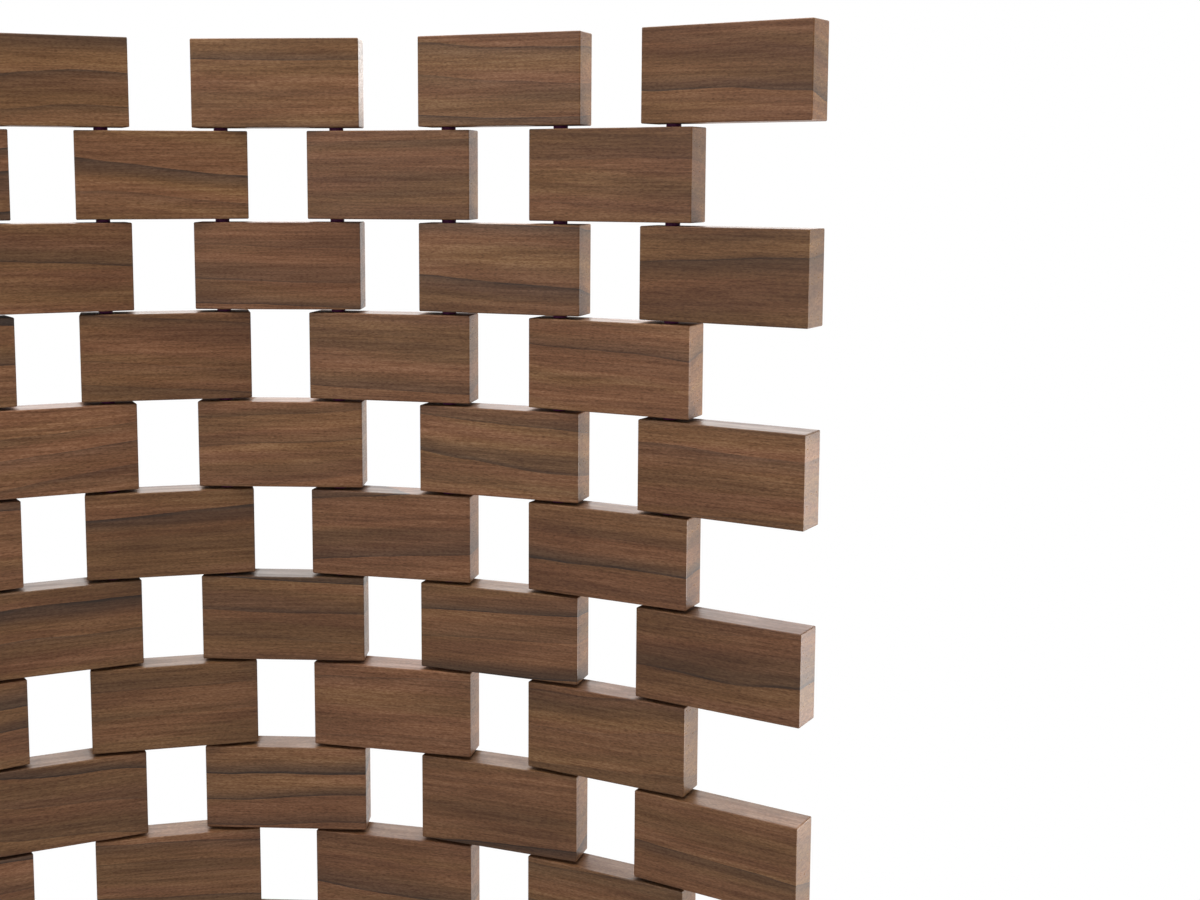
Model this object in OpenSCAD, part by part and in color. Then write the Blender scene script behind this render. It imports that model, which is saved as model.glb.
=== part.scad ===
// Folding screen of walnut blocks in running bond, threaded on upright steel rods.
// Every column of blocks shares its two rods with the columns beside it, so each rod is a hinge.
// Rows count down from the top and columns count from the right, seen from the front.
// Odd columns fill the odd rows and even columns fill the even rows.
// X runs along the screen to the right, Y runs to the back, and the floor is z = 0.
// The middle rod stands at x = 0, and the hollow side of the curve faces the front.

/* [Blocks] */
// Length of a block
block_l = 192; // [150:1:260]
// Height of a block
block_h = 100; // [60:1:140]
// Thickness of a block
block_t = 40; // [32:1:50]
// Distance from the end of a block to the axis of its rod
rod_inset = 29; // [22:0.5:40]
// Width of the small flat planed on every edge of a block
edge_break = 0.8; // [0.2:0.1:3]

/* [Stack] */
// Number of rows of blocks
rows = 17; // [5:1:17]
// Number of columns of blocks, which is one more than the number of rods
columns = 10; // [6:2:10]
// Height of the gap between two rows, which is the thickness of a spacer
row_gap = 3.7; // [2:0.1:8]

/* [Bends at rest] */
// Angle between the two columns at the middle rod
bend_middle = 16; // [0:0.5:24]
// Angle at the first rod on each side of the middle
bend_second = 11; // [0:0.5:20]
// Angle at the second rod on each side of the middle
bend_third = 7.5; // [0:0.5:16]
// Angle at the third rod on each side of the middle
bend_fourth = 7.5; // [0:0.5:16]
// Angle at the fourth rod on each side, where the end blocks swing
bend_fifth = 4; // [0:0.5:16]

/* [Rods and spacers] */
// Diameter of a rod
rod_d = 8; // [6:0.5:12]
// Radial clearance round a rod in the blocks and spacers
running_clearance = 0.08; // [0.02:0.01:0.1]
// Diameter of a spacer
spacer_d = 16; // [14:0.5:20]
// Bevel at both ends of a rod
rod_bevel = 1; // [0.2:0.1:1.5]

/* [Top nuts] */
// Diameter of the sunk seat for a nut in the top row
seat_d = 19; // [18:0.5:24]
// Diameter of a nut
nut_d = 15; // [14:0.5:17]
// Height of a nut
nut_h = 9.5; // [8:0.5:14]
// Distance from the top of a nut up to the top of the block
nut_sunk = 1; // [0.5:0.1:2]
// Thickness of the washer under a nut
nut_washer_t = 1.5; // [1:0.1:3]
// Width across the flats of the key socket in a nut
key_width = 6; // [4:0.5:7]
// Depth of the key socket
key_depth = 3; // [2:0.1:4]
// Thickness of the web between the key socket and the thread
nut_web = 1; // [0.5:0.1:1.5]
// Radial clearance that stands for a thread
thread_clearance = 0.05; // [0.02:0.01:0.1]

/* [Feet] */
// Diameter of a foot
foot_d = 36; // [26:1:42]
// Height of the foot's disc
foot_disc_h = 8; // [5:0.5:16]
// Height of the neck between the disc and the bottom row
foot_neck_h = 4; // [2:0.5:10]
// Thickness of the foot's floor under the end of the rod
foot_floor = 2.5; // [1:0.5:4]
// Bevel round the top and the bottom of the foot's disc
foot_bevel = 1.5; // [0.5:0.1:2.5]

/* [Hidden] */
$fn = 64;
cut = 1;
hex_sides = 6;

mid = columns / 2;
pitch = block_l - 2 * rod_inset;
row_step = block_h + row_gap;
base_h = foot_disc_h + foot_neck_h;
top_z = base_h + rows * block_h + (rows - 1) * row_gap;
seat_depth = nut_sunk + nut_h + nut_washer_t;
seat_z = top_z - seat_depth;
nut_z = seat_z + nut_washer_t;
nut_top_z = nut_z + nut_h;
rod_top_z = nut_top_z - key_depth - nut_web;
bore_r = rod_d / 2 + running_clearance;
thread_r = rod_d / 2 + thread_clearance;

// Bend at a rod, by its distance from the middle rod
bends = [bend_middle, bend_second, bend_third, bend_fourth, bend_fifth];
function bend(j) = bends[min(abs(j - mid), len(bends) - 1)];

// Turn of a column about Z: zero is along X, and the left half turns the positive way
function turn(k) =
    k == mid ? -bend(mid) / 2 :
    k == mid + 1 ? bend(mid) / 2 :
    k < mid ? turn(k + 1) - bend(k) :
    turn(k - 1) + bend(k - 1);

function along(a) = [cos(a), sin(a)];
function across(a) = [-sin(a), cos(a)];

// Plan position of rod j before the screen is centred: rod j joins columns j and j + 1
function raw_rod(j) =
    j == mid ? [0, 0] :
    j > mid ? raw_rod(j - 1) - pitch * along(turn(j)) :
    raw_rod(j + 1) + pitch * along(turn(j + 1));

// Outline of a block in plan, round its own centre, with its corners broken
half_l = block_l / 2;
half_t = block_t / 2;
half_h = block_h / 2;
function broken_rect(a, b) = [
    [a - edge_break, b], [edge_break - a, b], [-a, b - edge_break], [-a, edge_break - b],
    [edge_break - a, -b], [a - edge_break, -b], [a, edge_break - b], [a, b - edge_break]];

// Where a block's rods stand along it, from its centre
rod_x = half_l - rod_inset;
// The rod that a column is placed by, and that rod's place along the block
function anchor(k) = k == 1 ? 1 : k - 1;
function anchor_x(k) = k == 1 ? -rod_x : rod_x;
function raw_centre(k) = raw_rod(anchor(k)) - anchor_x(k) * along(turn(k));

// Depth of the whole screen in plan, so that its box is centred on the origin
outline_y = [for (k = [1 : columns]) for (p = broken_rect(half_l, half_t))
    raw_centre(k)[1] + p[0] * along(turn(k))[1] + p[1] * across(turn(k))[1]];
shift = [0, -(min(outline_y) + max(outline_y)) / 2];
function rod_at(j) = raw_rod(j) + shift;
function centre_at(k) = raw_centre(k) + shift;

// Rows that a column fills, and the height of a row's underside
function rows_of(k) = [for (r = [1 : rows]) if (r % 2 == k % 2) r];
function row_z(r) = base_h + (rows - r) * row_step;

// Rods that turn with a column: the middle column has two and the others have their outer one
inner_columns = [for (k = [2 : columns - 1]) k];
function rods_of(k) = k == mid ? [mid - 1, mid] : k < mid ? [k - 1] : [k];

right_rows = rows_of(1);
left_rows = rows_of(columns);
function name_of(k, what) = str("column_", k, "_", what);
function end_name(side, i) = str(side, "_end_block_", i + 1);

// Walnut block round its own centre with a bore at each listed place along it
module walnut_block(bores, sunk) {
    difference() {
        intersection() {
            translate([0, 0, -half_h])
                linear_extrude(block_h) polygon(broken_rect(half_l, half_t));
            rotate([90, 0, 0]) translate([0, 0, -half_t])
                linear_extrude(block_t) polygon(broken_rect(half_l, half_h));
            rotate([90, 0, 90]) translate([0, 0, -half_l])
                linear_extrude(block_l) polygon(broken_rect(half_t, half_h));
        }
        for (x = bores) translate([x, 0, 0]) {
            cylinder(r = bore_r, h = block_h + 2 * cut, center = true);
            if (sunk) translate([0, 0, half_h - seat_depth])
                cylinder(d = seat_d, h = seat_depth + cut);
        }
    }
}

module placed_block(k, r, bores) {
    translate([centre_at(k)[0], centre_at(k)[1], row_z(r) + half_h])
        rotate([0, 0, turn(k)])
            walnut_block(bores, r == 1);
}

// Blocks of one column, all threaded on the same two rods
module column_blocks(k) {
    color("#73503a")
        for (r = rows_of(k)) placed_block(k, r, [-rod_x, rod_x]);
}

// End block, held on one rod only, so that it swings by itself
module end_block(k, r) {
    color("#7a563f")
        placed_block(k, r, [anchor_x(k)]);
}

// Steel rod with bevelled ends, from the foot to the nut
module rod(j) {
    r = rod_d / 2;
    color("#3a3238")
        translate([rod_at(j)[0], rod_at(j)[1], 0])
            rotate_extrude()
                polygon([
                    [0, foot_floor], [r - rod_bevel, foot_floor], [r, foot_floor + rod_bevel],
                    [r, rod_top_z - rod_bevel], [r - rod_bevel, rod_top_z], [0, rod_top_z]]);
}

module ring(outer_d, h) {
    difference() {
        cylinder(d = outer_d, h = h);
        translate([0, 0, -cut]) cylinder(r = bore_r, h = h + 2 * cut);
    }
}

// Spacers on one rod, one in each gap between two rows, and the washer under its nut
module rod_spacers(j) {
    color("#2b2029")
        translate([rod_at(j)[0], rod_at(j)[1], 0]) {
            for (r = [1 : rows - 1]) translate([0, 0, row_z(r) - row_gap]) ring(spacer_d, row_gap);
            translate([0, 0, seat_z]) ring(spacer_d, nut_washer_t);
        }
}

// Round nut sunk in the top row, with a six-sided key socket and a blind thread
module top_nut(j) {
    color("#4a444b")
        translate([rod_at(j)[0], rod_at(j)[1], nut_z])
            difference() {
                cylinder(d = nut_d, h = nut_h);
                translate([0, 0, -cut])
                    cylinder(r = thread_r, h = nut_h - key_depth - nut_web + cut);
                translate([0, 0, nut_h - key_depth])
                    cylinder(d = key_width / cos(180 / hex_sides), h = key_depth + cut, $fn = hex_sides);
            }
}

// Round foot on the lower end of a rod: its neck carries the bottom row
module foot(j) {
    r = foot_d / 2;
    color("#262326")
        translate([rod_at(j)[0], rod_at(j)[1], 0])
            rotate_extrude()
                polygon([
                    [0, 0], [r - foot_bevel, 0], [r, foot_bevel], [r, foot_disc_h - foot_bevel],
                    [r - foot_bevel, foot_disc_h], [spacer_d / 2, foot_disc_h],
                    [spacer_d / 2, base_h], [thread_r, base_h], [thread_r, foot_floor],
                    [0, foot_floor]]);
}

module column_spacers(k) { for (j = rods_of(k)) rod_spacers(j); }
module column_top_nuts(k) { for (j = rods_of(k)) top_nut(j); }
module column_feet(k) { for (j = rods_of(k)) foot(j); }

for (k = inner_columns)
    column_blocks(k);
for (i = [0 : len(right_rows) - 1])
    end_block(1, right_rows[i]);
for (i = [0 : len(left_rows) - 1])
    end_block(columns, left_rows[i]);
for (j = [1 : columns - 1])
    rod(j);
for (k = inner_columns)
    column_spacers(k);
for (k = inner_columns)
    column_top_nuts(k);
for (k = inner_columns)
    column_feet(k);
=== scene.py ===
import math

import bmesh
import bpy
from mathutils import Matrix, Vector


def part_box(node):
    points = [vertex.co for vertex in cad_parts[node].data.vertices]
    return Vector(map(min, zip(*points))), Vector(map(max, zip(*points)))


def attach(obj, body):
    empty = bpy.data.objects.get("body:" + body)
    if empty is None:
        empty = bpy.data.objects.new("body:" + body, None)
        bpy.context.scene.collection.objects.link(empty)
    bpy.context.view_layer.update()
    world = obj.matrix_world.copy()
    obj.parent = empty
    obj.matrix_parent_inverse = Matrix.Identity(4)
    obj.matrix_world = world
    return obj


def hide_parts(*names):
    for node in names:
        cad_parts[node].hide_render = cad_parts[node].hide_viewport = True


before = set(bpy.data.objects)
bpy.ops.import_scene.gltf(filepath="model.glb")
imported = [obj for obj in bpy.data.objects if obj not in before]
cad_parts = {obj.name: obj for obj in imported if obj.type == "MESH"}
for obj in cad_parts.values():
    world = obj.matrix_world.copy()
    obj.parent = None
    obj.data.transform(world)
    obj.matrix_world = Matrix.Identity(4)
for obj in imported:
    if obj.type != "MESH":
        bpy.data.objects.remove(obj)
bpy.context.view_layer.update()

# Folding screen of walnut blocks in running bond, threaded on upright steel rods.
# Sizes are in metres and angles in radians. The source's names and sizes are kept.
MM = 0.001

BLOCK_LENGTH = 192 * MM
BLOCK_HEIGHT = 100 * MM
BLOCK_THICKNESS = 40 * MM
ROD_INSET = 29 * MM
BORE_RADIUS = 4.08 * MM

# The source planes a narrow flat on each edge, and the round edge here lies inside it
EDGE_BREAK = 0.8 * MM
EDGE_ROUND = 1.4 * MM

NUT_RADIUS = 7.5 * MM
NUT_HEIGHT = 9.5 * MM
NUT_SUNK = 1 * MM
NUT_WASHER_THICKNESS = 1.5 * MM
SEAT_RADIUS = 9.5 * MM
SEAT_DEPTH = NUT_SUNK + NUT_HEIGHT + NUT_WASHER_THICKNESS
KEY_WIDTH = 6 * MM
KEY_DEPTH = 3 * MM

SPACER_RADIUS = 8 * MM
SPACER_EASE = 0.4 * MM
WASHER_EASE = 0.3 * MM
ROW_GAP = 3.7 * MM

FOOT_RADIUS = 18 * MM
FOOT_DISC_HEIGHT = 8 * MM
FOOT_HEIGHT = 12 * MM
SOLE_HEIGHT = 2.2 * MM

BORE_SIDES = 24
SPACER_SIDES = 20
TURNED_SIDES = 48
KEY_SIDES = 6

# What the frame says about the screen


def middle_of(node):
    """Middle of a node's box at rest."""
    low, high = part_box(node)
    return (low + high) / 2


def count_of(prefix):
    """Number of nodes whose name starts that way."""
    return sum(1 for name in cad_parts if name.startswith(prefix))


def end_heights(side):
    """Heights of the middles of one side's end blocks, from the top down."""
    prefix = f"{side}_end_block_"
    return [middle_of(f"{prefix}{i + 1}").z for i in range(count_of(prefix))]


RODS = count_of("rod_")
COLUMNS = RODS + 1
MIDDLE_COLUMN = COLUMNS // 2
INNER_COLUMNS = range(2, COLUMNS)
ROD_PLACES = {rod: middle_of(f"rod_{rod}") for rod in range(1, COLUMNS)}

# Odd columns fill the odd rows, as the right end does, and even columns the even rows, as the left end does
ROW_HEIGHTS = {1: end_heights("right"), 0: end_heights("left")}
ROW_STEP = ROW_HEIGHTS[1][0] - ROW_HEIGHTS[0][0]
SCREEN_TOP = ROW_HEIGHTS[1][0] + BLOCK_HEIGHT / 2


def rods_of(column):
    """Rods that turn with a column."""
    if column == MIDDLE_COLUMN:
        return [column - 1, column]
    return [column - 1] if column < MIDDLE_COLUMN else [column]


def column_plan(column):
    """Middle of a column in plan, and its turn about Z."""
    right, left = ROD_PLACES[column - 1], ROD_PLACES[column]
    along = right - left
    return (right + left) / 2, math.atan2(along.y, along.x)


def end_plan(node, rod):
    """Middle of an end block in plan, and the turn that puts its bored end on the rod."""
    middle = middle_of(node)
    along = middle - ROD_PLACES[rod]
    return middle, math.atan2(along.y, along.x)


# Node trees and meshes


def socket_of(sockets, key):
    """The live socket of that name or number."""
    if isinstance(key, int):
        return sockets[key]
    return next(s for s in sockets if s.name == key and s.enabled)


def add_node(tree, kind, inputs=None, **settings):
    """A new node with its settings, and each input set to a value or linked to a socket."""
    node = tree.nodes.new(kind)
    for name, value in settings.items():
        setattr(node, name, value)
    for key, value in (inputs or {}).items():
        target = socket_of(node.inputs, key)
        if isinstance(value, bpy.types.Node):
            value = next(s for s in value.outputs if s.enabled)
        if isinstance(value, bpy.types.NodeSocket):
            tree.links.new(value, target)
        else:
            target.default_value = value
    return node


def calc(tree, operation, a, b=0.0, c=0.0):
    """Result of a Math node."""
    return add_node(tree, "ShaderNodeMath", {0: a, 1: b, 2: c}, operation=operation).outputs[0]


def calc_vector(tree, operation, a, b):
    """Result of a Vector Math node on two vectors."""
    node = add_node(tree, "ShaderNodeVectorMath", {0: a, 1: b}, operation=operation)
    return next(s for s in node.outputs if s.enabled)


def turned(outline, sides, closed=False):
    """Mesh turned about Z from (radius, height) points, with flat ends, or as a ring if it is closed."""
    bm = bmesh.new()
    rings = []
    for radius, height in outline:
        ring = []
        for i in range(sides):
            a = 2 * math.pi * i / sides
            ring.append(bm.verts.new((radius * math.cos(a), radius * math.sin(a), height)))
        rings.append(ring)
    pairs = list(zip(rings, rings[1:]))
    if closed:
        pairs.append((rings[-1], rings[0]))
    else:
        bm.faces.new(rings[0])
        bm.faces.new(rings[-1])
    for low, high in pairs:
        for i in range(sides):
            j = (i + 1) % sides
            bm.faces.new((low[i], low[j], high[j], high[i]))
    return bm


def finish_mesh(bm, name, smooth_below=None):
    """Mesh with its faces pointing outwards, smooth where two faces meet below that angle."""
    bmesh.ops.recalc_face_normals(bm, faces=bm.faces)
    if smooth_below is not None:
        for face in bm.faces:
            face.smooth = True
        for edge in bm.edges:
            edge.smooth = edge.calc_face_angle(math.pi) < smooth_below
    mesh = bpy.data.meshes.new(name)
    bm.to_mesh(mesh)
    bm.free()
    return mesh


def new_object(name, data):
    """Object with that mesh, camera or lamp in the scene."""
    piece = bpy.data.objects.new(name, data)
    bpy.context.scene.collection.objects.link(piece)
    return piece


def evaluated_mesh(piece):
    """Plain mesh of an object with its modifiers applied."""
    graph = bpy.context.evaluated_depsgraph_get()
    graph.update()
    return bpy.data.meshes.new_from_object(piece.evaluated_get(graph))


def cut_out(mesh, cutters):
    """The mesh with the cutters' shapes taken out."""
    piece = new_object("uncut", mesh)
    helpers = [new_object("cutter", cutter) for cutter in cutters]
    for helper in helpers:
        cut = piece.modifiers.new("cut", "BOOLEAN")
        cut.operation = "DIFFERENCE"
        cut.solver = "EXACT"
        cut.object = helper
    result = evaluated_mesh(piece)
    for leftover in [piece] + helpers:
        bpy.data.objects.remove(leftover)
    return result


SMOOTH_ANGLE = math.radians(32)

# Blocks


def bore_cutter(x, sunk):
    """Shape of a bore, with the seat for a nut where it is sunk."""
    over = 5 * MM
    half = BLOCK_HEIGHT / 2
    outline = [(BORE_RADIUS, -half - over), (BORE_RADIUS, half + over)]
    if sunk:
        seat = half - SEAT_DEPTH
        outline[1:] = [(BORE_RADIUS, seat), (SEAT_RADIUS, seat), (SEAT_RADIUS, half + over)]
    bm = turned(outline, TURNED_SIDES if sunk else BORE_SIDES)
    bmesh.ops.translate(bm, verts=bm.verts, vec=(x, 0, 0))
    return finish_mesh(bm, "bore")


def block_mesh(name, bores, sunk):
    """Walnut block round its own middle, with eased edges and its bores."""
    edge_steps = 3
    bm = bmesh.new()
    bmesh.ops.create_cube(bm, size=1)
    bmesh.ops.scale(bm, verts=bm.verts, vec=(BLOCK_LENGTH, BLOCK_THICKNESS, BLOCK_HEIGHT))
    bmesh.ops.bevel(
        bm, geom=bm.edges, offset=EDGE_ROUND, segments=edge_steps, profile=0.5, affect="EDGES")
    return cut_out(finish_mesh(bm, name), [bore_cutter(x, sunk) for x in bores])


def hidden_stock(name, mesh):
    """Object that only the geometry trees use: it is removed before the end."""
    piece = new_object(name, mesh)
    piece.hide_render = True
    return piece


# Distance of a rod from a block's middle, and half the width of the window above the block
ROD_X = BLOCK_LENGTH / 2 - ROD_INSET
OPEN_HALF = ROD_X - ROD_INSET
INNER_BORES = (-ROD_X, ROD_X)
END_BORES = (-ROD_X,)


def socket_identifier(tree, name):
    """Identifier of a tree's named input."""
    return next(i.identifier for i in tree.interface.items_tree if i.name == name and i.in_out == "INPUT")


def new_tree(name, inputs):
    """Geometry tree with named inputs and one geometry output."""
    tree = bpy.data.node_groups.new(name, "GeometryNodeTree")
    for label, kind in inputs:
        tree.interface.new_socket(label, in_out="INPUT", socket_type=kind)
    tree.interface.new_socket("Geometry", in_out="OUTPUT", socket_type="NodeSocketGeometry")
    start = tree.nodes.new("NodeGroupInput")
    return tree, {label: start.outputs[label] for label, kind in inputs}


def end_tree(tree, instances, material):
    """Last nodes of every tree: real meshes with their material."""
    real = add_node(tree, "GeometryNodeRealizeInstances", {"Geometry": instances})
    made = add_node(tree, "GeometryNodeSetMaterial", {"Geometry": real, "Material": material})
    end = tree.nodes.new("NodeGroupOutput")
    tree.links.new(made.outputs[0], end.inputs["Geometry"])


def store(tree, geometry, name, value, kind, domain):
    """The geometry with a value stored on it under a name."""
    return add_node(
        tree, "GeometryNodeStoreNamedAttribute", {"Geometry": geometry, "Name": name, "Value": value},
        data_type=kind, domain=domain)


def random_value(tree, seed, offset, low, high, kind):
    """Random value for each block, from the tree's seed."""
    own_seed = calc(tree, "ADD", seed, offset)
    return add_node(
        tree, "FunctionNodeRandomValue", {"Min": low, "Max": high, "Seed": own_seed}, data_type=kind)


# How far a block's place in the log may lie from its middle, and how steeply the block's
# growth layers may rise along and across it
LOG_REACH = 8.0
SLOPE_LIMIT = 0.09
LEAN_LIMIT = 0.25


def threaded_blocks_tree():
    """Blocks one under another, each cut from its own place in the log."""
    tree, given = new_tree("Threaded blocks", [
        ("Block", "NodeSocketObject"),
        ("Top Block", "NodeSocketObject"),
        ("Top Is Covered", "NodeSocketFloat"),
        ("Blocks", "NodeSocketInt"),
        ("Drop", "NodeSocketFloat"),
        ("Top Middle", "NodeSocketVector"),
        ("Turn", "NodeSocketFloat"),
        ("Free End", "NodeSocketFloat"),
        ("Seed", "NodeSocketInt"),
        ("Walnut", "NodeSocketMaterial"),
    ])
    down = add_node(tree, "ShaderNodeCombineXYZ", {"Z": calc(tree, "MULTIPLY", given["Drop"], -1.0)})
    line = add_node(tree, "GeometryNodeMeshLine", {
        "Count": given["Blocks"], "Start Location": given["Top Middle"], "Offset": down}, mode="OFFSET")
    turn = add_node(tree, "FunctionNodeEulerToRotation", {
        "Euler": add_node(tree, "ShaderNodeCombineXYZ", {"Z": given["Turn"]})})
    is_top = add_node(tree, "FunctionNodeCompare", {
        "A": tree.nodes.new("GeometryNodeInputIndex").outputs[0], "B": 0}, data_type="INT", operation="EQUAL")
    is_lower = add_node(tree, "FunctionNodeBooleanMath", {0: is_top}, operation="NOT")
    place = tree.nodes.new("GeometryNodeInputPosition")
    joined = tree.nodes.new("GeometryNodeJoinGeometry")
    for stock, chosen, covered in (
        (given["Block"], is_lower, 1.0),
        (given["Top Block"], is_top, given["Top Is Covered"]),
    ):
        block = add_node(tree, "GeometryNodeObjectInfo", {"Object": stock})
        block = store(
            tree, socket_of(block.outputs, "Geometry"), "in_block", place.outputs[0], "FLOAT_VECTOR", "POINT")
        block = store(tree, block, "covered", covered, "FLOAT", "POINT")
        threaded = add_node(tree, "GeometryNodeInstanceOnPoints", {
            "Points": line, "Selection": chosen, "Instance": block, "Rotation": turn})
        tree.links.new(threaded.outputs[0], joined.inputs[0])
    blocks = store(tree, joined, "free_end", given["Free End"], "FLOAT", "INSTANCE")
    for offset, (name, low, high, kind) in enumerate((
        ("cut_from", (-LOG_REACH,) * 3, (LOG_REACH,) * 3, "FLOAT_VECTOR"),
        ("tone", -1.0, 1.0, "FLOAT"),
        ("redness", -1.0, 1.0, "FLOAT"),
        ("figure", 0.0, 1.0, "FLOAT"),
        ("slope", -SLOPE_LIMIT, SLOPE_LIMIT, "FLOAT"),
        ("lean", -LEAN_LIMIT, LEAN_LIMIT, "FLOAT"),
        ("flip", -1.0, 1.0, "FLOAT"),
    )):
        value = random_value(tree, given["Seed"], float(offset), low, high, kind)
        blocks = store(tree, blocks, name, value, kind, "INSTANCE")
    end_tree(tree, blocks, given["Walnut"])
    return tree


def threaded_tree(name):
    """The same piece again and again along one rod."""
    tree, given = new_tree(name, [
        ("Piece", "NodeSocketObject"),
        ("Pieces", "NodeSocketInt"),
        ("Step", "NodeSocketFloat"),
        ("Start", "NodeSocketVector"),
        ("Finish", "NodeSocketMaterial"),
    ])
    up = add_node(tree, "ShaderNodeCombineXYZ", {"Z": given["Step"]})
    line = add_node(tree, "GeometryNodeMeshLine", {
        "Count": given["Pieces"], "Start Location": given["Start"], "Offset": up}, mode="OFFSET")
    piece = add_node(tree, "GeometryNodeObjectInfo", {"Object": given["Piece"]})
    threaded = add_node(tree, "GeometryNodeInstanceOnPoints", {
        "Points": line, "Instance": socket_of(piece.outputs, "Geometry")})
    end_tree(tree, threaded, given["Finish"])
    return tree


def grow(tree, values):
    """Plain mesh that a tree makes from its named inputs."""
    host = new_object("host", bpy.data.meshes.new("host"))
    modifier = host.modifiers.new("grow", "NODES")
    modifier.node_group = tree
    for name, value in values.items():
        modifier[socket_identifier(tree, name)] = value
    mesh = evaluated_mesh(host)
    bpy.data.objects.remove(host)
    return mesh


def merged(meshes):
    """One mesh from several."""
    if len(meshes) == 1:
        return meshes[0]
    bm = bmesh.new()
    for mesh in meshes:
        bm.from_mesh(mesh)
    joined = bpy.data.meshes.new(meshes[0].name)
    bm.to_mesh(joined)
    bm.free()
    for material in meshes[0].materials:
        joined.materials.append(material)
    return joined


def add_piece(name, mesh, body, slot, *nodes):
    """Finished piece that rides on a body and stands for CAD nodes."""
    piece = new_object(name, mesh)
    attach(piece, body)
    if nodes:
        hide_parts(*nodes)
    return piece


# Finishes


def new_finish(name):
    """Material with only a Principled shader, and its tree."""
    material = bpy.data.materials.new(name)
    material.use_nodes = True
    tree = material.node_tree
    return material, tree, tree.nodes["Principled BSDF"]


def attribute(tree, name):
    """Node that reads what a geometry tree stored on a mesh."""
    return add_node(tree, "ShaderNodeAttribute", attribute_name=name)


def noise(tree, vector, detail=2.0, roughness=0.5):
    """Noise from 0 to 1 at that vector."""
    node = add_node(tree, "ShaderNodeTexNoise", {
        "Vector": vector, "Scale": 1.0, "Detail": detail, "Roughness": roughness})
    return node.outputs[0]


def stretched(tree, vector, per_metre):
    """The vector scaled to that many features per metre along each axis."""
    return calc_vector(tree, "MULTIPLY", vector, per_metre)


def band(tree, value, low, high, to_low=0.0, to_high=1.0):
    """The value taken smoothly from one range to another."""
    return add_node(tree, "ShaderNodeMapRange", {
        "Value": value, "From Min": low, "From Max": high, "To Min": to_low, "To Max": to_high},
        interpolation_type="SMOOTHSTEP").outputs[0]


def mix_colour(tree, factor, a, b, blend="MIX"):
    """The first colour with the second mixed in by the factor."""
    node = add_node(
        tree, "ShaderNodeMix", {0: factor, "A": a, "B": b}, data_type="RGBA", blend_type=blend)
    return socket_of(node.outputs, "Result")


def srgb(red, green, blue):
    """Linear colour of a screen colour from 0 to 255."""
    def linear(level):
        """One channel, by the screen's own curve."""
        share = level / 255
        return share / 12.92 if share <= 0.04045 else ((share + 0.055) / 1.055) ** 2.4
    return (linear(red), linear(green), linear(blue), 1)


def carried(tree, name):
    """Number that a block carries."""
    return attribute(tree, name).outputs["Fac"]


def centred(tree, value):
    """Noise moved down to lie about zero."""
    return calc(tree, "SUBTRACT", value, 0.5)


def total(tree, *values):
    """Sum of several values."""
    result = values[0]
    for value in values[1:]:
        result = calc(tree, "ADD", result, value)
    return result


def product(tree, *values):
    """Product of several values."""
    result = values[0]
    for value in values[1:]:
        result = calc(tree, "MULTIPLY", result, value)
    return result


def shaded(tree, colour, shade, red_power, blue_power):
    """The colour made lighter or darker by a shade, with red and blue following it by their own powers."""
    tint = add_node(tree, "ShaderNodeCombineColor", {
        0: calc(tree, "POWER", shade, red_power), 1: shade, 2: calc(tree, "POWER", shade, blue_power)})
    return mix_colour(tree, 1.0, colour, tint.outputs[0], "MULTIPLY")


RINGS_PER_METRE = 27.0
RING_DRIFT = 1.6
RING_CONTRAST = 1.4
REDNESS_SPREAD = 0.35
DARK_SHARE = 0.90
OLIVE_BROWN = srgb(109, 76, 46)
RED_BROWN = srgb(113, 75, 49)
LATE_BROWN = srgb(67, 47, 32)
SEAM_BROWN = srgb(40, 28, 21)


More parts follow.
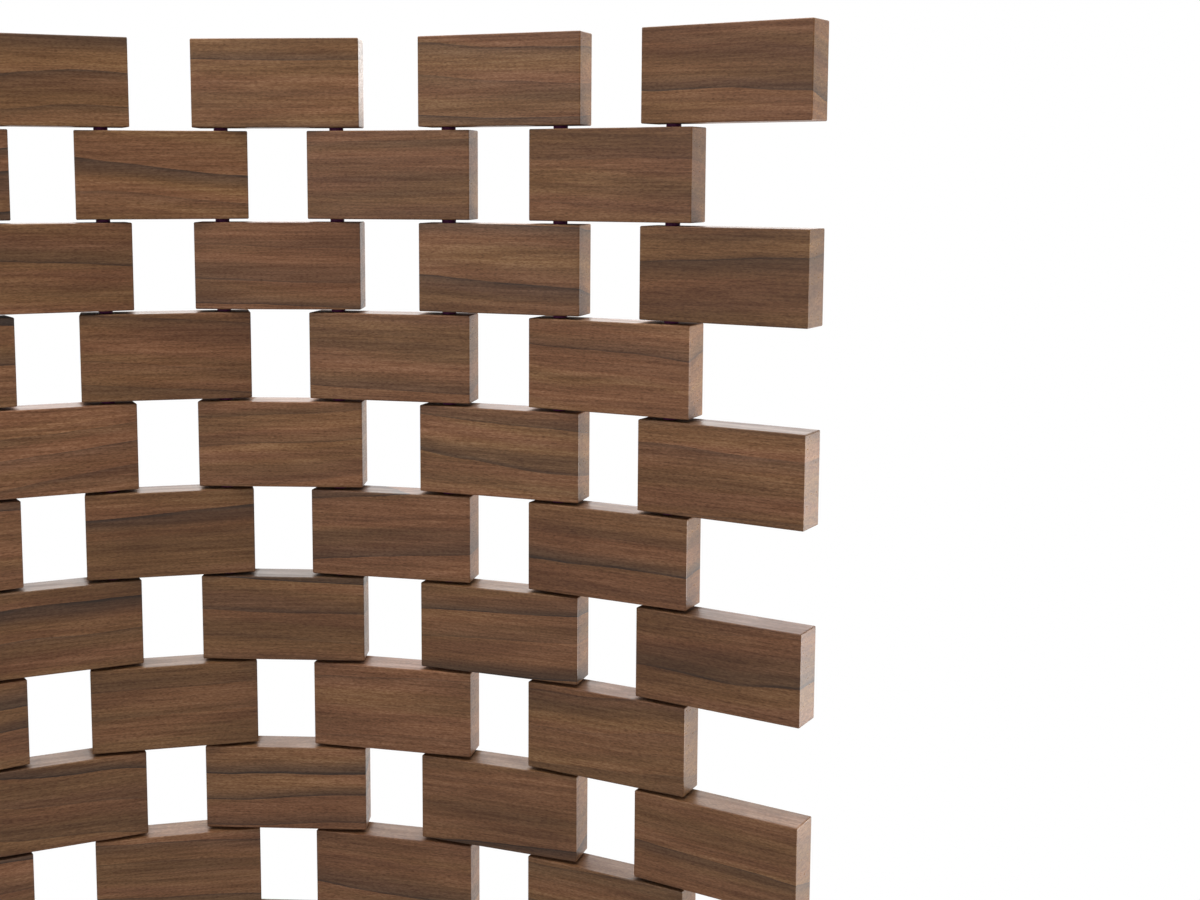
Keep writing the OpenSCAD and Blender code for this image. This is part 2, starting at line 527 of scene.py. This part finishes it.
def walnut_finish():
    """Oiled walnut: growth layers lie nearly flat in each block, sway along it and end in a dark line."""
    material, tree, shader = new_finish("walnut")
    inside = attribute(tree, "in_block").outputs["Vector"]
    cut_from = attribute(tree, "cut_from").outputs["Vector"]
    x, y, z = add_node(tree, "ShaderNodeSeparateXYZ", {0: inside}).outputs
    log_z = add_node(tree, "ShaderNodeSeparateXYZ", {0: cut_from}).outputs[2]

    log_place = calc_vector(tree, "ADD", inside, cut_from)
    broad_sway = centred(tree, noise(tree, stretched(tree, log_place, (5, 6, 9)), 1))
    small_sway = centred(tree, noise(tree, stretched(tree, log_place, (34, 24, 60)), 1))
    sway_height = band(tree, carried(tree, "figure"), 0.0, 1.0, 6 * MM, 26 * MM)
    level = total(
        tree, z,
        calc(tree, "MULTIPLY", x, carried(tree, "slope")),
        calc(tree, "MULTIPLY", y, carried(tree, "lean")),
        calc(tree, "MULTIPLY", broad_sway, sway_height),
        calc(tree, "MULTIPLY", small_sway, 1.6 * MM))
    board = add_node(tree, "ShaderNodeCombineXYZ", {"X": x, "Y": y, "Z": level})
    board = calc_vector(tree, "ADD", board.outputs[0], cut_from)

    layers = noise(tree, stretched(tree, board, (2.5, 9, 130)), 2)
    clouds = noise(tree, stretched(tree, board, (2.5, 8, 40)), 1)
    fibres = noise(tree, stretched(tree, log_place, (15, 120, 430)), 2, 0.6)
    hairs = noise(tree, stretched(tree, log_place, (260, 500, 900)), 2)
    pores = noise(tree, stretched(tree, log_place, (170, 700, 1100)), 0)
    patches = noise(tree, stretched(tree, board, (14, 20, 60)), 1)
    broad_tone = noise(tree, stretched(tree, board, (4, 9, 24)), 1)

    uneven = centred(tree, noise(tree, stretched(tree, board, (1, 3, 22)), 1))
    uneven = calc(tree, "MULTIPLY", uneven, RING_DRIFT)
    growth = calc(tree, "MULTIPLY", total(tree, level, log_z), RINGS_PER_METRE)
    growth = calc(tree, "MULTIPLY", total(tree, growth, uneven), calc(tree, "SIGN", carried(tree, "flip")))
    season = calc(tree, "FRACT", growth)
    year = calc(tree, "FLOOR", growth)
    strength = add_node(tree, "ShaderNodeTexWhiteNoise", {"W": year}, noise_dimensions="1D").outputs[0]
    strength = calc(tree, "POWER", strength, RING_CONTRAST)
    late = calc(tree, "MULTIPLY", band(tree, season, 0.30, 0.97), strength)
    seam = calc(tree, "MULTIPLY", band(tree, season, 0.91, 0.98), strength)
    seam = calc(tree, "MULTIPLY", seam, band(tree, patches, 0.30, 0.55, 0.25, 1.0))

    red_share = calc(
        tree, "MULTIPLY_ADD", carried(tree, "redness"), REDNESS_SPREAD, band(tree, clouds, 0.35, 0.65))
    brown = mix_colour(tree, red_share, OLIVE_BROWN, RED_BROWN)
    brown = mix_colour(tree, calc(tree, "MULTIPLY", late, DARK_SHARE), brown, LATE_BROWN)
    brown = mix_colour(tree, calc(tree, "MULTIPLY", seam, DARK_SHARE), brown, SEAM_BROWN)
    end_face = band(tree, calc(tree, "ABSOLUTE", x), BLOCK_LENGTH / 2 - EDGE_BREAK, BLOCK_LENGTH / 2)
    grain = product(
        tree, band(tree, fibres, 0.28, 0.72, 0.72, 1.28), band(tree, pores, 0.60, 0.74, 1.0, 0.65))
    fine_shade = calc(tree, "MULTIPLY", grain, band(tree, hairs, 0.28, 0.72, 0.76, 1.24))
    broad_shade = product(
        tree, band(tree, layers, 0.32, 0.68, 0.82, 1.16),
        band(tree, broad_tone, 0.32, 0.68, 0.80, 1.20),
        band(tree, carried(tree, "tone"), -1.0, 1.0, 0.84, 1.16))
    brown = shaded(tree, brown, fine_shade, 0.76, 1.36)
    brown = shaded(tree, brown, broad_shade, 0.86, 1.18)
    # Painted light: the end faces are painted lighter and warmer, standing in for the extra light that falls
    # on them from the side
    brown = shaded(tree, brown, band(tree, end_face, 0.0, 1.0, 1.0, 1.12), 0.9, -1.0)
    tree.links.new(brown, shader.inputs["Base Color"])

    # Where blocks lie over each other the faces are rubbed matte: at each bored end, above and below
    held_end = calc(tree, "SUBTRACT", 1.0, carried(tree, "free_end"))
    bored = calc(tree, "MAXIMUM", calc(tree, "MULTIPLY", x, -1.0), product(tree, x, held_end))
    under_next = product(tree, z, carried(tree, "covered"))
    bearing = calc(tree, "MAXIMUM", calc(tree, "MULTIPLY", z, -1.0), under_next)
    rubbed = calc(
        tree, "MULTIPLY", band(tree, bored, OPEN_HALF - 6 * MM, OPEN_HALF + 4 * MM),
        band(tree, bearing, BLOCK_HEIGHT / 2 - EDGE_BREAK, BLOCK_HEIGHT / 2))
    rubbed_adds = 0.5
    end_adds = -0.10
    roughness = total(
        tree, band(tree, fibres, 0.2, 0.8, 0.48, 0.36),
        calc(tree, "MULTIPLY", rubbed, rubbed_adds),
        calc(tree, "MULTIPLY", end_face, end_adds))
    tree.links.new(roughness, shader.inputs["Roughness"])
    shader.inputs["IOR"].default_value = 1.5
    shader.inputs["Specular IOR Level"].default_value = 0.28
    relief = calc(tree, "MULTIPLY", grain, calc(tree, "SUBTRACT", 1.0, end_face))
    bump = add_node(tree, "ShaderNodeBump", {"Strength": 0.2, "Distance": 0.12 * MM, "Height": relief})
    tree.links.new(bump.outputs[0], shader.inputs["Normal"])
    return material


def speckled_finish(name, dark, light, per_metre, roughness, metallic, bump_height):
    """Plain finish with fine speckle in its colour, gloss and surface, from low to high roughness."""
    material, tree, shader = new_finish(name)
    place = tree.nodes.new("ShaderNodeTexCoord").outputs["Object"]
    coarse = noise(tree, stretched(tree, place, (per_metre / 6,) * 3), 2)
    fine = noise(tree, stretched(tree, place, (per_metre,) * 3), 3, 0.6)
    colour = mix_colour(tree, band(tree, coarse, 0.3, 0.7), dark, light)
    tree.links.new(colour, shader.inputs["Base Color"])
    low, high = roughness
    tree.links.new(band(tree, fine, 0.3, 0.7, low, high), shader.inputs["Roughness"])
    shader.inputs["Metallic"].default_value = metallic
    bump = add_node(tree, "ShaderNodeBump", {"Strength": 0.4, "Distance": bump_height, "Height": fine})
    tree.links.new(bump.outputs[0], shader.inputs["Normal"])
    return material


WALNUT = walnut_finish()
ROD_STEEL = speckled_finish(
    "rod_steel", srgb(66, 60, 64), srgb(92, 86, 90), per_metre=900,
    roughness=(0.28, 0.45), metallic=1.0, bump_height=0.05 * MM)
SPACER_PLASTIC = speckled_finish(
    "spacer_plastic", srgb(86, 10, 70), srgb(104, 22, 86), per_metre=1400,
    roughness=(0.6, 0.75), metallic=0.0, bump_height=0.05 * MM)
NUT_STEEL = speckled_finish(
    "nut_steel", srgb(84, 78, 84), srgb(112, 106, 110), per_metre=1100,
    roughness=(0.25, 0.4), metallic=1.0, bump_height=0.04 * MM)
FOOT_COAT = speckled_finish(
    "foot_coat", srgb(30, 28, 30), srgb(40, 38, 40), per_metre=1500,
    roughness=(0.5, 0.65), metallic=0.0, bump_height=0.08 * MM)
SOLE_RUBBER = speckled_finish(
    "sole_rubber", srgb(22, 22, 22), srgb(32, 32, 32), per_metre=800,
    roughness=(0.75, 0.9), metallic=0.0, bump_height=0.1 * MM)

# Walnut blocks

BLOCKS_TREE = threaded_blocks_tree()
STOCK = {
    (bores, sunk): hidden_stock("block_stock", block_mesh("block", bores, sunk))
    for bores in (INNER_BORES, END_BORES)
    for sunk in (False, True)
}


def grow_blocks(bores, top_is_sunk, heights, plan, turn, seed):
    """Blocks of one body, from the top down."""
    return grow(BLOCKS_TREE, {
        "Block": STOCK[bores, False],
        "Top Block": STOCK[bores, top_is_sunk],
        "Top Is Covered": float(not top_is_sunk),
        "Blocks": len(heights),
        "Drop": 2 * ROW_STEP,
        "Top Middle": (plan.x, plan.y, heights[0]),
        "Turn": turn,
        "Free End": float(bores == END_BORES),
        "Seed": seed,
        "Walnut": WALNUT,
    })


# Seeds stand so far apart that no two bodies cut the same places from the log
COLUMN_SEED = 100
END_SEED = 2000

for column in INNER_COLUMNS:
    plan, turn = column_plan(column)
    mesh = grow_blocks(
        INNER_BORES, column % 2 == 1, ROW_HEIGHTS[column % 2], plan, turn, COLUMN_SEED * column)
    add_piece(f"column_{column}_walnut", mesh, f"column_{column}", "walnut", f"column_{column}_blocks")

for side, parity, rod in (("right", 1, 1), ("left", 0, RODS)):
    for i, height in enumerate(ROW_HEIGHTS[parity]):
        node = f"{side}_end_block_{i + 1}"
        plan, turn = end_plan(node, rod)
        mesh = grow_blocks(
            END_BORES, parity == 1 and i == 0, [height], plan, turn, END_SEED * rod + COLUMN_SEED * i)
        add_piece(f"{side}_end_walnut_{i + 1}", mesh, node, "walnut", node)

# Spacers, nuts and feet


def spacer_mesh(thickness, edge):
    """Ring that sits on a rod, with both rims eased."""
    outline = [
        (BORE_RADIUS, 0), (SPACER_RADIUS - edge, 0), (SPACER_RADIUS, edge),
        (SPACER_RADIUS, thickness - edge), (SPACER_RADIUS - edge, thickness), (BORE_RADIUS, thickness)]
    return finish_mesh(turned(outline, SPACER_SIDES, closed=True), "spacer", SMOOTH_ANGLE)


def arc_points(centre, radius, start, end, steps):
    """Points of an arc in (radius, height), from one angle to another in degrees."""
    points = []
    for i in range(steps + 1):
        a = math.radians(start + (end - start) * i / steps)
        points.append((centre[0] + radius * math.cos(a), centre[1] + radius * math.sin(a)))
    return points


def nut_mesh():
    """Round nut with a domed rim and a six-sided key socket, whose mouth is coned to lead the key in."""
    rim = 1.2 * MM
    bevel = 0.4 * MM
    cone_depth = 0.8 * MM
    cone_inset = 0.3 * MM
    cone_flare = 1.5 * MM
    over = 1 * MM
    outline = [(NUT_RADIUS - bevel, 0), (NUT_RADIUS, bevel)]
    outline += arc_points((NUT_RADIUS - rim, NUT_HEIGHT - rim), rim, 0, 90, 5)
    body = finish_mesh(turned(outline, TURNED_SIDES), "nut")
    key_radius = KEY_WIDTH / 2 / math.cos(math.pi / KEY_SIDES)
    socket = turned(
        [(key_radius, NUT_HEIGHT - KEY_DEPTH), (key_radius, NUT_HEIGHT + over)], KEY_SIDES)
    lead_in = turned(
        [(key_radius - cone_inset, NUT_HEIGHT - cone_depth), (key_radius + cone_flare, NUT_HEIGHT + over)],
        TURNED_SIDES)
    half_step = math.pi / TURNED_SIDES
    bmesh.ops.rotate(lead_in, verts=lead_in.verts, matrix=Matrix.Rotation(half_step, 3, "Z"))
    bm = bmesh.new()
    bm.from_mesh(cut_out(body, [finish_mesh(socket, "socket"), finish_mesh(lead_in, "lead_in")]))
    return finish_mesh(bm, "nut", SMOOTH_ANGLE)


def foot_mesh():
    """Turned foot: a disc with a rounded rim and a hollow shoulder up to its neck."""
    rim = 1.8 * MM
    shoulder = 1.6 * MM
    bevel = 0.5 * MM
    outline = [(FOOT_RADIUS - bevel, SOLE_HEIGHT), (FOOT_RADIUS, SOLE_HEIGHT + bevel)]
    outline += arc_points((FOOT_RADIUS - rim, FOOT_DISC_HEIGHT - rim), rim, 0, 90, 6)
    outline += arc_points(
        (SPACER_RADIUS + shoulder, FOOT_DISC_HEIGHT + shoulder), shoulder, 270, 180, 5)
    outline += [(SPACER_RADIUS, FOOT_HEIGHT)]
    return finish_mesh(turned(outline, TURNED_SIDES), "foot", SMOOTH_ANGLE)


def sole_mesh():
    """Rubber sole pressed into the foot."""
    inset = 1.2 * MM
    bevel = 0.6 * MM
    reach = FOOT_RADIUS - inset
    outline = [(reach - bevel, 0), (reach, bevel), (reach, SOLE_HEIGHT)]
    return finish_mesh(turned(outline, TURNED_SIDES), "sole", SMOOTH_ANGLE)


THREADED_TREE = threaded_tree("Threaded hardware")
NUT_SEAT_HEIGHT = SCREEN_TOP - SEAT_DEPTH
SPACER_START = FOOT_HEIGHT + BLOCK_HEIGHT
SPACERS = sum(len(heights) for heights in ROW_HEIGHTS.values()) - 1
HARDWARE = {
    "spacer": hidden_stock("spacer_stock", spacer_mesh(ROW_GAP, SPACER_EASE)),
    "washer": hidden_stock("washer_stock", spacer_mesh(NUT_WASHER_THICKNESS, WASHER_EASE)),
    "nut": hidden_stock("nut_stock", nut_mesh()),
    "foot": hidden_stock("foot_stock", foot_mesh()),
    "sole": hidden_stock("sole_stock", sole_mesh()),
}


def thread_on(kind, column, start, finish, pieces=1, step=0.0):
    """Hardware of one kind on every rod that turns with a column."""
    meshes = []
    for rod in rods_of(column):
        place = ROD_PLACES[rod]
        meshes.append(grow(THREADED_TREE, {
            "Piece": HARDWARE[kind], "Pieces": pieces, "Step": step,
            "Start": (place.x, place.y, start), "Finish": finish}))
    return merged(meshes)


for column in INNER_COLUMNS:
    body = f"column_{column}"
    spacers = merged([
        thread_on("spacer", column, SPACER_START, SPACER_PLASTIC, SPACERS, ROW_STEP),
        thread_on("washer", column, NUT_SEAT_HEIGHT, SPACER_PLASTIC),
    ])
    add_piece(f"{body}_spacer_rings", spacers, body, "spacer", f"{body}_spacers")
    nuts = thread_on("nut", column, NUT_SEAT_HEIGHT + NUT_WASHER_THICKNESS, NUT_STEEL)
    add_piece(f"{body}_round_nuts", nuts, body, "nut_steel", f"{body}_top_nuts")
    feet = thread_on("foot", column, 0.0, FOOT_COAT)
    add_piece(f"{body}_turned_feet", feet, body, "foot", f"{body}_feet")
    add_piece(f"{body}_foot_soles", thread_on("sole", column, 0.0, SOLE_RUBBER), body, "foot")

for rod in ROD_PLACES:
    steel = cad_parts[f"rod_{rod}"].data.materials
    steel.clear()
    steel.append(ROD_STEEL)

for stock in list(STOCK.values()) + list(HARDWARE.values()):
    bpy.data.objects.remove(stock)

# Camera, from the fit to the photograph: pixels are of the 1200 x 900 frame
FRAME_WIDTH = 1200
FRAME_HEIGHT = 900
SENSOR = 36.0
FOCAL_PIXELS = 1582.9
AXIS_X = 510.1
AXIS_Y = 357.0
CAMERA_PLACE = (0.1717, -1.7168, 1.6163)
CAMERA_TILT = math.radians(6.519)
CAMERA_TURN = math.radians(4.994)

camera_data = bpy.data.cameras.new("camera")
camera_data.sensor_width = SENSOR
camera_data.lens = FOCAL_PIXELS * SENSOR / FRAME_WIDTH
camera_data.shift_x = (FRAME_WIDTH / 2 - AXIS_X) / FRAME_WIDTH
camera_data.shift_y = (AXIS_Y - FRAME_HEIGHT / 2) / FRAME_WIDTH
camera = new_object("camera", camera_data)
camera.location = CAMERA_PLACE
camera.rotation_euler = (math.pi / 2 - CAMERA_TILT, 0, -CAMERA_TURN)
bpy.context.scene.camera = camera

# Floor, world and lamps


def any_ray(tree, *kinds):
    """1 on rays of any of those kinds."""
    path = tree.nodes.new("ShaderNodeLightPath")
    result = path.outputs[kinds[0]]
    for kind in kinds[1:]:
        result = calc(tree, "MAXIMUM", result, path.outputs[kind])
    return result


SEEN_RAYS = ("Is Camera Ray", "Is Glossy Ray", "Is Transmission Ray")
WHITE = (1, 1, 1, 1)
SOFT_LIGHT = 0.32

# Distances from the middle of the floor at which it starts to pale and is plain white
SHADOW_REACH = 0.9
WHITE_FROM = 1.5
FLOOR_HALF = 8.0


def floor_finish():
    """Pale floor that keeps the shadow near the screen and turns plain white further off."""
    material, tree, shader = new_finish("pale_floor")
    shader.inputs["Base Color"].default_value = srgb(225, 224, 222)
    shader.inputs["Roughness"].default_value = 0.9
    shader.inputs["Specular IOR Level"].default_value = 0.1
    place = tree.nodes.new("ShaderNodeTexCoord").outputs["Object"]
    distance = calc_vector(tree, "LENGTH", place, (0, 0, 0))
    far = band(tree, distance, SHADOW_REACH, WHITE_FROM)
    white = add_node(tree, "ShaderNodeEmission", {"Color": WHITE, "Strength": 1.0})
    factor = calc(tree, "MULTIPLY", far, any_ray(tree, *SEEN_RAYS))
    mix = add_node(tree, "ShaderNodeMixShader", {0: factor, 1: shader.outputs[0], 2: white.outputs[0]})
    end = tree.nodes["Material Output"]
    tree.links.new(mix.outputs[0], end.inputs["Surface"])
    return material


def make_floor():
    """Level floor under the feet."""
    bm = bmesh.new()
    bmesh.ops.create_grid(bm, x_segments=1, y_segments=1, size=FLOOR_HALF)
    floor = new_object("floor", finish_mesh(bm, "floor"))
    floor.data.materials.append(floor_finish())


def make_world():
    """White to the eye and in reflections, and a softer light on what it falls on."""
    world = bpy.data.worlds.new("studio")
    world.use_nodes = True
    bpy.context.scene.world = world
    tree = world.node_tree
    soft = tree.nodes["Background"]
    soft.inputs["Color"].default_value = WHITE
    soft.inputs["Strength"].default_value = SOFT_LIGHT
    white = add_node(tree, "ShaderNodeBackground", {"Color": WHITE, "Strength": 1.0})
    mix = add_node(tree, "ShaderNodeMixShader", {
        0: any_ray(tree, *SEEN_RAYS), 1: soft.outputs[0], 2: white.outputs[0]})
    tree.links.new(mix.outputs[0], tree.nodes["World Output"].inputs["Surface"])


def add_lamp(name, place, aim, width, height, watts):
    """Soft rectangular lamp aimed at a point."""
    data = bpy.data.lights.new(name, "AREA")
    data.shape = "RECTANGLE"
    data.size = width
    data.size_y = height
    data.energy = watts
    lamp = new_object(name, data)
    lamp.location = place
    lamp.rotation_euler = (Vector(aim) - Vector(place)).to_track_quat("-Z", "Y").to_euler()


make_floor()
make_world()
add_lamp("overhead_softbox", (0.0, 0.0, 3.6), aim=(0.0, 0.0, 1.0), width=3.0, height=3.0, watts=126)
add_lamp("right_softbox", (2.7, -0.13, 0.65), aim=(0.2, 0.0, 0.85), width=1.8, height=1.2, watts=63)
add_lamp("rear_softbox", (0.2, 3.2, 2.6), aim=(0.0, 0.0, 1.0), width=3.8, height=1.7, watts=46)
add_lamp("front_softbox", (-1.8, -2.2, 2.0), aim=(0.0, 0.0, 1.1), width=1.6, height=2.0, watts=15)

bpy.context.scene.view_settings.view_transform = "Standard"
